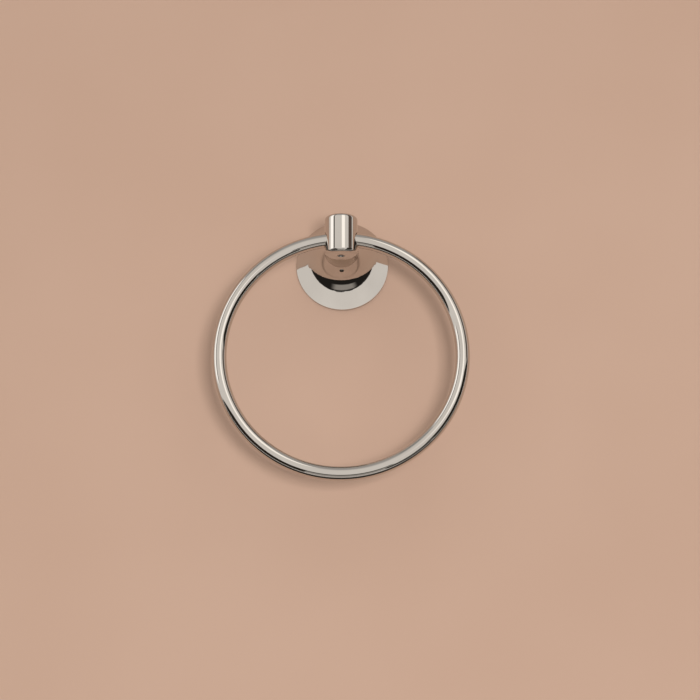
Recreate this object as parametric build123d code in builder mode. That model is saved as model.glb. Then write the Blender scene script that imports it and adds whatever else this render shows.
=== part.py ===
from build123d import *
from math import asin, cos, degrees, radians, sin, sqrt, tan
import os

# Wall-mounted towel ring: flared post, upright head and a round tube ring that swings in the head.
#
# Millimetres. The wall is the plane Y = 0 and the object stands out of it towards -Y.
# +X is to the right and +Z up. The origin is on the neck's axis, at the wall.

os.makedirs("parts", exist_ok=True)

# Rose and neck
rose_diameter = 63.5
rose_edge = 1.6
rose_edge_round = 0.5
rose_wall = 2.4
bevel_slope = 45.0
flare_reach = 13.0
flare_rise = 10.7
neck_diameter = 21.0
cavity_depth = 9.0

# Head
standoff = 65.0
head_diameter = 22.0
head_height = 27.0
head_end_round = 2.5
bore_lip_round = 0.3
seam_gap = 0.05

# Ring
ring_diameter = 170.0
tube_diameter = 9.5
tube_wall = 1.0
ring_drop = 2.5
swing_clearance = 0.15
neck_relief = 0.35
ring_end_play = 0.5

# Wall bracket
plate_diameter = 46.0
plate_thickness = 3.0
plate_edge_round = 0.8
screw_hole_diameter = 4.8
screw_hole_spacing = 30.0
screw_hole_count = 2
boss_diameter = 14.0
boss_height = 32.0
boss_chamfer = 0.8
boss_clearance = 0.15
groove_from_boss_end = 5.0
groove_width = 4.0
groove_depth = 0.8

# Grub screws and the cap screw, all with hexagon sockets
socket_sides = 6
thread_clearance = 0.05
post_set_diameter = 3.0
post_set_socket = 1.5
post_set_socket_depth = 2.0
stop_screw_diameter = 5.0
stop_screw_recess = 0.6
stop_screw_reach = 1.5
stop_screw_socket = 2.5
stop_screw_socket_depth = 3.0
cap_screw_diameter = 5.0
cap_head_diameter = 8.5
cap_head_height = 5.0
cap_socket = 4.0
cap_socket_depth = 2.5
cap_clearance = 0.25
cap_end_gap = 2.0
tapped_hole_web = 1.0

# Radii and places that follow from the sizes above
rose_radius = rose_diameter / 2
neck_radius = neck_diameter / 2
head_radius = head_diameter / 2
tube_radius = tube_diameter / 2
boss_radius = boss_diameter / 2

# The flare leaves the bevel and runs into the neck without an edge, drawn towards the point where they meet
bevel_angle = radians(bevel_slope)
bevel_meets_neck = rose_edge + (rose_radius - neck_radius) * tan(bevel_angle)
flare_start = bevel_meets_neck - flare_reach * tan(bevel_angle)
neck_start = bevel_meets_neck + flare_rise

# The hollow back follows the bevel at the thickness of the wall
cavity_radius = rose_radius - (rose_wall / cos(bevel_angle) - rose_edge) / tan(bevel_angle)
cavity_floor_radius = cavity_radius - cavity_depth / tan(bevel_angle)

# The tube is curved and the bore is straight, so the bore has room for the curve at every angle of the ring
ring_radius = ring_diameter / 2 - tube_radius
sag_in_head = ring_radius - sqrt(ring_radius**2 - head_radius**2)
ring_bore_radius = tube_radius + sag_in_head / 2 + swing_clearance
ring_centre = (0, -standoff, -ring_drop + sag_in_head / 2 - ring_radius)
ring_gap = stop_screw_diameter + 2 * ring_end_play
ring_gap_half_angle = degrees(asin(ring_gap / 2 / ring_radius))

# Depths along the neck
boss_bore_radius = boss_radius + boss_clearance
boss_bore_depth = boss_height + boss_clearance
cap_seat = boss_bore_depth + cap_end_gap + cap_head_height
cap_tip = standoff - ring_bore_radius - tapped_hole_web

# Places of the two grub screws
groove_radius = boss_radius - groove_depth
post_set_height = boss_height - groove_from_boss_end
post_set_length = neck_radius - groove_radius
head_bottom = -head_height / 2
stop_screw_bottom = head_bottom + stop_screw_recess
stop_screw_top = -ring_drop + stop_screw_reach

# Planes for the upright bores, and one along the cross bore
head_plane = Plane((0, -standoff, 0))
cross_plane = Plane((0, -standoff, -ring_drop), x_dir=(0, 1, 0), z_dir=(1, 0, 0))
set_screw_plane = Plane((0, -post_set_height, 0))

# Post: bevelled rose, flare and neck, hollow behind
with BuildPart() as post:
    with BuildSketch(Plane.XY) as outside:
        with BuildLine():
            rim = Polyline(
                (0, 0),
                (rose_radius, 0),
                (rose_radius, -rose_edge),
                (neck_radius + flare_reach, -flare_start),
            )
            flare = Bezier(rim @ 1, (neck_radius, -bevel_meets_neck), (neck_radius, -neck_start))
            Polyline(flare @ 1, (neck_radius, -standoff), (0, -standoff), (0, 0))
        make_face()
        fillet(outside.vertices().sort_by_distance((rose_radius, -rose_edge))[0], radius=rose_edge_round)
    revolve(axis=Axis.Y)
    # Dish for the bracket's plate, bore for its boss, seat of the cap screw and its clearance hole
    with BuildSketch(Plane.XY):
        with BuildLine():
            Polyline(
                (0, 0),
                (cavity_radius, 0),
                (cavity_floor_radius, -cavity_depth),
                (boss_bore_radius, -cavity_depth),
                (boss_bore_radius, -boss_bore_depth),
                (cap_head_diameter / 2 + cap_clearance, -boss_bore_depth),
                (cap_head_diameter / 2 + cap_clearance, -cap_seat),
                (cap_screw_diameter / 2 + cap_clearance, -cap_seat),
                (cap_screw_diameter / 2 + cap_clearance, -standoff),
                (0, -standoff),
                (0, 0),
            )
        make_face()
    revolve(axis=Axis.Y, mode=Mode.SUBTRACT)
    # The end of the neck is coped to the head, and cleared where the ring passes
    with BuildSketch(head_plane):
        Circle(head_radius + seam_gap)
    extrude(amount=head_height, both=True, mode=Mode.SUBTRACT)
    with BuildSketch(cross_plane):
        Circle(ring_bore_radius + neck_relief)
    extrude(amount=head_diameter, both=True, mode=Mode.SUBTRACT)
    # Tapped hole of the set screw, in the underside of the neck
    with BuildSketch(set_screw_plane):
        Circle(post_set_diameter / 2 + thread_clearance)
    extrude(amount=-rose_radius, mode=Mode.SUBTRACT)
post.part.label = "post"
export_step(post.part, "parts/post.step")

# Head: upright barrel with the ring's cross bore and two tapped holes
with BuildPart() as head:
    with BuildSketch(head_plane):
        Circle(head_radius)
    extrude(amount=head_height / 2, both=True)
    fillet(head.edges().filter_by(GeomType.CIRCLE), radius=head_end_round)
    with BuildSketch(cross_plane):
        Circle(ring_bore_radius)
    extrude(amount=head_diameter, both=True, mode=Mode.SUBTRACT)
    fillet(head.edges().filter_by(GeomType.BSPLINE), radius=bore_lip_round)
    with BuildSketch(Plane.XZ.offset(cap_tip)):
        Circle(cap_screw_diameter / 2 + thread_clearance)
    extrude(amount=-head_radius, mode=Mode.SUBTRACT)
    with BuildSketch(head_plane.offset(head_bottom)):
        Circle(stop_screw_diameter / 2 + thread_clearance)
    extrude(amount=-head_bottom - ring_drop, mode=Mode.SUBTRACT)
head.part.label = "head"
export_step(head.part, "parts/head.step")

# Ring: tube bent to a circle, open by a short gap inside the head
gap_turn = radians(ring_gap_half_angle)
ring_end_plane = Plane(ring_centre, x_dir=(0, 1, 0), z_dir=(cos(gap_turn), 0, -sin(gap_turn)))
with BuildPart() as ring:
    with BuildSketch(ring_end_plane):
        with Locations((0, ring_radius)):
            Circle(tube_radius)
            Circle(tube_radius - tube_wall, mode=Mode.SUBTRACT)
    revolve(axis=Axis(ring_centre, (0, 1, 0)), revolution_arc=360 - 2 * ring_gap_half_angle)
ring.part.label = "ring"
export_step(ring.part, "parts/ring.step")

# Wall bracket: round plate with two screw holes, and a grooved boss that carries the post
with BuildPart() as bracket:
    with BuildSketch(Plane.XZ):
        Circle(plate_diameter / 2)
    extrude(amount=plate_thickness)
    fillet(bracket.edges().filter_by(GeomType.CIRCLE).sort_by(Axis.Y)[0], radius=plate_edge_round)
    with BuildSketch(Plane.XZ.offset(plate_thickness)):
        Circle(boss_radius)
    extrude(amount=boss_height - plate_thickness)
    chamfer(bracket.edges().filter_by(GeomType.CIRCLE).sort_by(Axis.Y)[0], length=boss_chamfer)
    with BuildSketch(Plane.XZ):
        with GridLocations(screw_hole_spacing, 0, screw_hole_count, 1):
            Circle(screw_hole_diameter / 2)
    extrude(amount=plate_thickness, mode=Mode.SUBTRACT)
    # Groove for the tip of the set screw
    with BuildSketch(Plane.XZ.offset(post_set_height)):
        Circle(boss_diameter)
        Circle(groove_radius, mode=Mode.SUBTRACT)
    extrude(amount=groove_width / 2, both=True, mode=Mode.SUBTRACT)
bracket.part.label = "wall_bracket"
export_step(bracket.part, "parts/wall_bracket.step")

# Set screw under the neck, its tip in the boss's groove
with BuildPart() as post_set_screw:
    with BuildSketch(set_screw_plane.offset(-groove_radius)):
        Circle(post_set_diameter / 2)
    extrude(amount=-post_set_length)
    with BuildSketch(set_screw_plane.offset(-groove_radius - post_set_length)):
        RegularPolygon(post_set_socket / 2, socket_sides, major_radius=False)
    extrude(amount=post_set_socket_depth, mode=Mode.SUBTRACT)
post_set_screw.part.label = "post_set_screw"
export_step(post_set_screw.part, "parts/post_set_screw.step")

# Stop screw in the head's underside, its tip between the two ends of the ring
with BuildPart() as stop_screw:
    with BuildSketch(head_plane.offset(stop_screw_bottom)):
        Circle(stop_screw_diameter / 2)
    extrude(amount=stop_screw_top - stop_screw_bottom)
    with BuildSketch(head_plane.offset(stop_screw_bottom)):
        RegularPolygon(stop_screw_socket / 2, socket_sides, major_radius=False)
    extrude(amount=stop_screw_socket_depth, mode=Mode.SUBTRACT)
stop_screw.part.label = "ring_stop_screw"
export_step(stop_screw.part, "parts/ring_stop_screw.step")

# Cap screw that pulls the head against the neck
with BuildPart() as neck_screw:
    with BuildSketch(Plane.XZ.offset(cap_seat - cap_head_height)):
        Circle(cap_head_diameter / 2)
    extrude(amount=cap_head_height)
    with BuildSketch(Plane.XZ.offset(cap_seat)):
        Circle(cap_screw_diameter / 2)
    extrude(amount=cap_tip - cap_seat)
    with BuildSketch(Plane.XZ.offset(cap_seat - cap_head_height)):
        RegularPolygon(cap_socket / 2, socket_sides, major_radius=False)
    extrude(amount=cap_socket_depth, mode=Mode.SUBTRACT)
neck_screw.part.label = "neck_screw"
export_step(neck_screw.part, "parts/neck_screw.step")
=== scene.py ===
import math

import bpy
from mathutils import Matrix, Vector


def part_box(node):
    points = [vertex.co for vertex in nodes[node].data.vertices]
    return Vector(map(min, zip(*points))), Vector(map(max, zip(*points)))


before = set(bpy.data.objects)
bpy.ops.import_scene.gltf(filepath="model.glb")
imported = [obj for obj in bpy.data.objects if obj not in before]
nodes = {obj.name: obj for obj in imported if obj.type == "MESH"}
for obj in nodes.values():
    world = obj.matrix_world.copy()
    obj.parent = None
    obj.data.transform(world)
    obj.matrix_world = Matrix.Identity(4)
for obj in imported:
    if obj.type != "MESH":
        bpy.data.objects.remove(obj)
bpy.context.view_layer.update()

# Metals: tones at both ends of the drift, range of the roughness, and the scales of the drift and of a fine
# grain, which the polished chrome doesn't have. Scales are per metre.
CHROME = {
    "dark": (0.59, 0.56, 0.52),
    "light": (0.625, 0.595, 0.555),
    "roughness": (0.012, 0.035),
    "scale": 45.0,
}
ZINC = {
    "dark": (0.52, 0.52, 0.50),
    "light": (0.64, 0.64, 0.61),
    "roughness": (0.28, 0.42),
    "scale": 160.0,
    "stretch": (1, 0.4, 1),
    "grain": 1400.0,
}
STEEL = {
    "dark": (0.48, 0.48, 0.48),
    "light": (0.60, 0.60, 0.60),
    "roughness": (0.22, 0.34),
    "scale": 600.0,
    "grain": 2600.0,
}
NOISE_DETAIL = 2.0
DRIFT_LOW, DRIFT_HIGH = 0.3, 0.7
GRAIN_STRENGTH = 0.35
GRAIN_DEPTH = 0.00006

# Stage wall, in metres. It begins under the rim of the rose, and it ends just below the picture, so that the
# rose mirrors the dark strip of floor there.
ROSE_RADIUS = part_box("post")[1].x
WALL_UNDER_RIM = 0.0012
WALL_REACH = 6.0
WALL_GAP = 0.0003
WALL_FOOT = -0.31
WALL_STEPS = 96
WALL_TINTS = [(0.35, (0.52, 0.348, 0.262)), (0.65, (0.535, 0.362, 0.275))]
WALL_TINT_SCALE = 6.0
WALL_ROUGHNESS = 0.75
WALL_SPECULAR = 0.2

# Height above the horizon in degrees, and the brightness of the plain room there
ROOM = [(-90, 0.88), (-52, 0.91), (-25, 0.85), (8, 0.86), (36, 0.82), (52, 0.46), (90, 0.40)]
ROOM_WARMTH = 0.045
# What the camera sees of the room, where a view looks past the wall
BACKDROP = (0.585, 0.395, 0.30)

# Panels in the room, each laid over those before it: colour, and limits with the softness of the edges, in
# degrees. A height is above the horizon, and a turn is from the front towards the right. A tilt is from
# straight down towards the front, and a sweep from straight down towards the right. An angle out is out of
# the wall's plane, and a lean out of a plane tipped back a little from the wall's, both towards the front.
# The bevel of the rose mirrors nearly one lean all the way round.
LEAN_FRONT, LEAN_UP = 0.9726, 0.2326
FLAG = (0.03, 0.025, 0.02)
PANELS = [
    ((0.40, 0.375, 0.35), {"out": (21, 48, 1.5), "sweep": (-22, 26, 1.5)}),
    (FLAG, {"out": (46, 56, 1.5), "sweep": (-34, 34, 1.5)}),
    (FLAG, {"lean": (6.2, 95, 0.4), "out": (-20, 55, 1.5), "sweep": (-84, -22, 1.5)}),
    (FLAG, {"lean": (6.2, 95, 0.4), "out": (-20, 42, 1.0), "sweep": (26, 58, 1.5)}),
    (FLAG, {"lean": (6.2, 95, 0.4), "out": (-20, 48, 1.0), "sweep": (58, 104, 1.5)}),
    ((1.60, 1.56, 1.52), {"turn": (-76, -55, 2.0), "height": (4, 48, 2.0)}),
    (FLAG, {"turn": (-52.5, -45, 1.0), "height": (6, 62, 1.0)}),
    ((1.55, 1.49, 1.41), {"turn": (6, 28, 2.0), "height": (5, 46, 2.0)}),
    ((0.12, 0.09, 0.075), {"turn": (54, 82, 2.0), "height": (13, 62, 2.0)}),
    ((0.12, 0.10, 0.09), {"turn": (-100, -92, 1.5), "height": (0, 60, 1.5)}),
    ((0.02, 0.018, 0.016), {"lean": (-38, 0.9, 0.3), "sweep": (-92, 106, 1.5)}),
    ((0.375, 0.35, 0.325), {"tilt": (5, 12.5, 0.8), "sweep": (-23, 33, 9.0)}),
]

# Key light and camera, in metres, watts, millimetres and radians
KEY_PLACE = (0.29, -2.3, -0.59)
KEY_AIM = (0, -0.03, -0.08)
KEY_SIZE = (0.34, 0.34)
KEY_POWER = 26.0
CAMERA_PLACE = (0.02212, -1.71346, -0.55578)
CAMERA_YAW, CAMERA_PITCH = -0.0098, 0.2816
CAMERA_SENSOR = 36.0
CAMERA_LENS = 133.8
CAMERA_CLIP_END = 50.0

# Sockets of a mix node for colours, which share their names with those for other kinds
MIX_BELOW, MIX_ABOVE, MIX_RESULT = 6, 7, 2


def node(tree, kind, **values):
    """Adds a shader node and sets its properties."""
    made = tree.nodes.new(kind)
    for name, value in values.items():
        setattr(made, name, value)
    return made


def math_node(tree, operation, first, second=None):
    """A math node of sockets and plain numbers."""
    made = node(tree, "ShaderNodeMath", operation=operation)
    for socket, value in zip(made.inputs, (first, second)):
        if isinstance(value, bpy.types.NodeSocket):
            tree.links.new(value, socket)
        elif value is not None:
            socket.default_value = value
    return made.outputs[0]


def angle_node(tree, operation, first, second=None):
    """The angle that an inverse function gives, in degrees."""
    return math_node(tree, "DEGREES", math_node(tree, operation, first, second))


def ramp_node(tree, factor, stops):
    """A colour ramp from a list of (position, colour)."""
    made = node(tree, "ShaderNodeValToRGB")
    ramp = made.color_ramp
    ramp.elements[0].position, ramp.elements[1].position = stops[0][0], stops[-1][0]
    ramp.elements[0].color, ramp.elements[1].color = (*stops[0][1], 1), (*stops[-1][1], 1)
    for position, colour in stops[1:-1]:
        ramp.elements.new(position).color = (*colour, 1)
    tree.links.new(factor, made.inputs["Fac"])
    return made.outputs["Color"]


def lay_over(tree, factor, below, colour):
    """Lays one colour over another where the factor is 1."""
    made = node(tree, "ShaderNodeMix", data_type="RGBA")
    tree.links.new(factor, made.inputs["Factor"])
    tree.links.new(below, made.inputs[MIX_BELOW])
    made.inputs[MIX_ABOVE].default_value = (*colour, 1)
    return made.outputs[MIX_RESULT]


def warm_grey(level):
    """A grey of the room, with its slight warmth."""
    return (level * (1 + ROOM_WARMTH), level, level * (1 - ROOM_WARMTH))


def object_noise(tree, scale, stretch=(1, 1, 1)):
    """Noise in the object's own metres, so it stays on the piece when the piece moves."""
    place = node(tree, "ShaderNodeTexCoord")
    mapping = node(tree, "ShaderNodeMapping")
    mapping.inputs["Scale"].default_value = stretch
    noise = node(tree, "ShaderNodeTexNoise")
    noise.inputs["Scale"].default_value = scale
    noise.inputs["Detail"].default_value = NOISE_DETAIL
    tree.links.new(place.outputs["Object"], mapping.inputs["Vector"])
    tree.links.new(mapping.outputs["Vector"], noise.inputs["Vector"])
    return noise.outputs["Fac"]


def metal(name, dark, light, roughness, scale, stretch=(1, 1, 1), grain=None):
    """Metal whose tone and roughness drift a little. A plain finish also has a fine grain."""
    material = bpy.data.materials.new(name)
    material.use_nodes = True
    tree = material.node_tree
    shader = tree.nodes["Principled BSDF"]
    shader.inputs["Metallic"].default_value = 1.0
    drift = object_noise(tree, scale, stretch)
    tone = ramp_node(tree, drift, [(DRIFT_LOW, dark), (DRIFT_HIGH, light)])
    tree.links.new(tone, shader.inputs["Base Color"])
    spread = node(tree, "ShaderNodeMapRange")
    spread.inputs["To Min"].default_value, spread.inputs["To Max"].default_value = roughness
    tree.links.new(drift, spread.inputs["Value"])
    tree.links.new(spread.outputs["Result"], shader.inputs["Roughness"])
    if grain:
        relief = node(tree, "ShaderNodeBump")
        relief.inputs["Strength"].default_value = GRAIN_STRENGTH
        relief.inputs["Distance"].default_value = GRAIN_DEPTH
        tree.links.new(object_noise(tree, grain), relief.inputs["Height"])
        tree.links.new(relief.outputs["Normal"], shader.inputs["Normal"])
    return material


chrome = metal("polished_chrome", **CHROME)
zinc = metal("bracket_zinc", **ZINC)
steel = metal("screw_steel", **STEEL)

finishes = {
    "post": chrome,
    "head": chrome,
    "ring": chrome,
    "wall_bracket": zinc,
    "post_set_screw": steel,
    "ring_stop_screw": steel,
    "neck_screw": steel,
}
for name, material in finishes.items():
    piece = nodes[name]
    piece.data.materials.clear()
    piece.data.materials.append(material)


def wall_paint():
    """Matt paint with a slight drift of tint. Nothing of it shows from behind."""
    material = bpy.data.materials.new("stage_wall_paint")
    material.use_nodes = True
    tree = material.node_tree
    paint = tree.nodes["Principled BSDF"]
    paint.inputs["Roughness"].default_value = WALL_ROUGHNESS
    paint.inputs["Specular IOR Level"].default_value = WALL_SPECULAR
    drift = object_noise(tree, WALL_TINT_SCALE)
    tree.links.new(ramp_node(tree, drift, WALL_TINTS), paint.inputs["Base Color"])
    clear = node(tree, "ShaderNodeBsdfTransparent")
    side = node(tree, "ShaderNodeNewGeometry")
    mix = node(tree, "ShaderNodeMixShader")
    tree.links.new(side.outputs["Backfacing"], mix.inputs["Fac"])
    tree.links.new(paint.outputs["BSDF"], mix.inputs[1])
    tree.links.new(clear.outputs["BSDF"], mix.inputs[2])
    tree.links.new(mix.outputs["Shader"], tree.nodes["Material Output"].inputs["Surface"])
    return material


def stage_wall():
    """A pale wall behind the rose, open where the rose covers it."""
    points = []
    for radius in (ROSE_RADIUS - WALL_UNDER_RIM, WALL_REACH):
        for step in range(WALL_STEPS):
            turn = 2 * math.pi * step / WALL_STEPS
            points.append((radius * math.cos(turn), WALL_GAP, max(radius * math.sin(turn), WALL_FOOT)))
    faces = []
    for step in range(WALL_STEPS):
        following = (step + 1) % WALL_STEPS
        faces.append((WALL_STEPS + step, WALL_STEPS + following, following, step))
    mesh = bpy.data.meshes.new("stage_wall")
    mesh.from_pydata(points, [], faces)
    mesh.update()
    mesh.materials.append(wall_paint())
    wall = bpy.data.objects.new("stage_wall", mesh)
    bpy.context.scene.collection.objects.link(wall)


stage_wall()


def panel(tree, below, colour, limits):
    """Lays a soft-edged panel of one colour over what is already in the room."""
    inside = None
    for angle, (start, end, soft) in limits:
        for edge, before, after in ((start, 0.0, 1.0), (end, 1.0, 0.0)):
            side = node(tree, "ShaderNodeMapRange", interpolation_type="SMOOTHSTEP")
            tree.links.new(angle, side.inputs["Value"])
            side.inputs["From Min"].default_value = edge - soft
            side.inputs["From Max"].default_value = edge + soft
            side.inputs["To Min"].default_value = before
            side.inputs["To Max"].default_value = after
            result = side.outputs["Result"]
            inside = result if inside is None else math_node(tree, "MULTIPLY", inside, result)
    return lay_over(tree, inside, below, colour)


def studio_world():
    """A bright studio with a dark strip of floor along the wall, a few light panels and narrow dark flags."""
    world = bpy.data.worlds.new("studio")
    bpy.context.scene.world = world
    world.use_nodes = True
    tree = world.node_tree
    background = tree.nodes["Background"]
    direction = node(tree, "ShaderNodeTexCoord").outputs["Generated"]
    split = node(tree, "ShaderNodeSeparateXYZ")
    tree.links.new(direction, split.inputs["Vector"])
    right, up = split.outputs["X"], split.outputs["Z"]
    front = math_node(tree, "MULTIPLY", split.outputs["Y"], -1.0)
    down = math_node(tree, "MULTIPLY", up, -1.0)
    lean_front = math_node(tree, "MULTIPLY", front, LEAN_FRONT)
    lean_up = math_node(tree, "MULTIPLY", up, LEAN_UP)
    angles = {
        "height": angle_node(tree, "ARCSINE", up),
        "turn": angle_node(tree, "ARCTAN2", right, front),
        "tilt": angle_node(tree, "ARCTAN2", front, down),
        "sweep": angle_node(tree, "ARCTAN2", right, down),
        "out": angle_node(tree, "ARCSINE", front),
        "lean": angle_node(tree, "ARCSINE", math_node(tree, "ADD", lean_front, lean_up)),
    }
    level = math_node(tree, "DIVIDE", math_node(tree, "ADD", angles["height"], 90.0), 180.0)
    room = ramp_node(tree, level, [((height + 90) / 180, warm_grey(value)) for height, value in ROOM])
    for colour, limits in PANELS:
        room = panel(tree, room, colour, [(angles[name], span) for name, span in limits.items()])
    path = node(tree, "ShaderNodeLightPath")
    seen = lay_over(tree, path.outputs["Is Camera Ray"], room, BACKDROP)
    tree.links.new(seen, background.inputs["Color"])
    background.inputs["Strength"].default_value = 1.0


studio_world()


def soft_box(name, place, aim, size, power):
    """A square soft light that lights the stage and isn't mirrored."""
    lamp = bpy.data.lights.new(name, "AREA")
    lamp.shape = "RECTANGLE"
    lamp.size, lamp.size_y = size
    lamp.energy = power
    box = bpy.data.objects.new(name, lamp)
    bpy.context.scene.collection.objects.link(box)
    box.location = place
    box.visible_glossy = False
    box.rotation_euler = (Vector(aim) - Vector(place)).to_track_quat("-Z", "Y").to_euler()


soft_box("key_soft_box", KEY_PLACE, KEY_AIM, KEY_SIZE, KEY_POWER)

# Camera below the object and a little to its right, at the photograph's viewing angle
camera = bpy.data.cameras.new("camera")
camera.sensor_width = CAMERA_SENSOR
camera.lens = CAMERA_LENS
camera.clip_end = CAMERA_CLIP_END
viewer = bpy.data.objects.new("camera", camera)
bpy.context.scene.collection.objects.link(viewer)
level_part = math.cos(CAMERA_PITCH)
look = Vector((math.sin(CAMERA_YAW) * level_part, math.cos(CAMERA_YAW) * level_part, math.sin(CAMERA_PITCH)))
viewer.location = CAMERA_PLACE
viewer.rotation_euler = look.to_track_quat("-Z", "Y").to_euler()
bpy.context.scene.camera = viewer

bpy.context.scene.view_settings.view_transform = "Standard"
